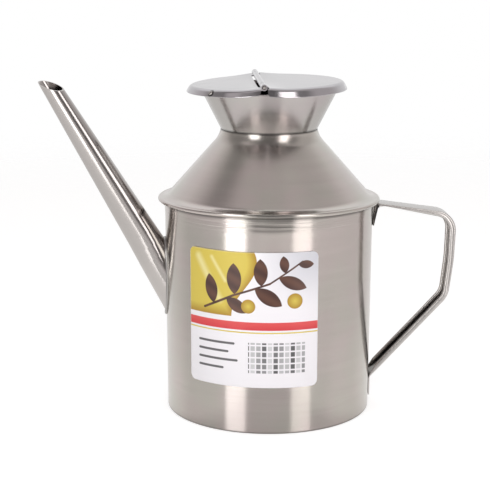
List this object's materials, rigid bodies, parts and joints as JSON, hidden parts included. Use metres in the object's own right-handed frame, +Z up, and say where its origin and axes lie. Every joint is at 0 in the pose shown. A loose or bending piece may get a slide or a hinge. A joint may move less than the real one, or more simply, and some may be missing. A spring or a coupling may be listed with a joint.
{
  "type": "oil cruet",
  "caption": "Stainless steel oil cruet: cylindrical can, cone shoulder, funnel mouth with a split hinged lid, long tapered spout and an angular strap handle.",
  "frame": {"origin": "centre of the can's flat base, on the can's axis", "axes": "+Z up along the can's axis, +X towards the handle, -X towards the spout, X-Z the plane through spout and handle"},
  "size_m": [0.1995, 0.1064, 0.1608],
  "materials": {
    "wall_steel": "satin polished stainless sheet with faint turning marks",
    "lid_steel": "satin stainless sheet",
    "pin_steel": "plain stainless wire",
    "label_paper": "smooth coated paper sticker"
  },
  "bodies": {
    "vessel": {"body_cup": "wall_steel", "shoulder_cone": "wall_steel", "funnel_mouth": "wall_steel", "fixed_lid_half": "lid_steel", "hinge_pin": "pin_steel", "lid_rivet_front": "pin_steel", "lid_rivet_back": "pin_steel", "spout_tube": "wall_steel", "handle_strap": "wall_steel", "paper_label": "label_paper"},
    "lid": {"hinged_lid_half": "lid_steel"}
  },
  "joints": [
    {"name": "lid_hinge", "type": "hinge", "parent": "vessel", "child": "lid", "pos_m": [-0.0048, 0, 0.15935], "axis": [0, -1, 0], "range_deg": [0, 180]}
  ]
}
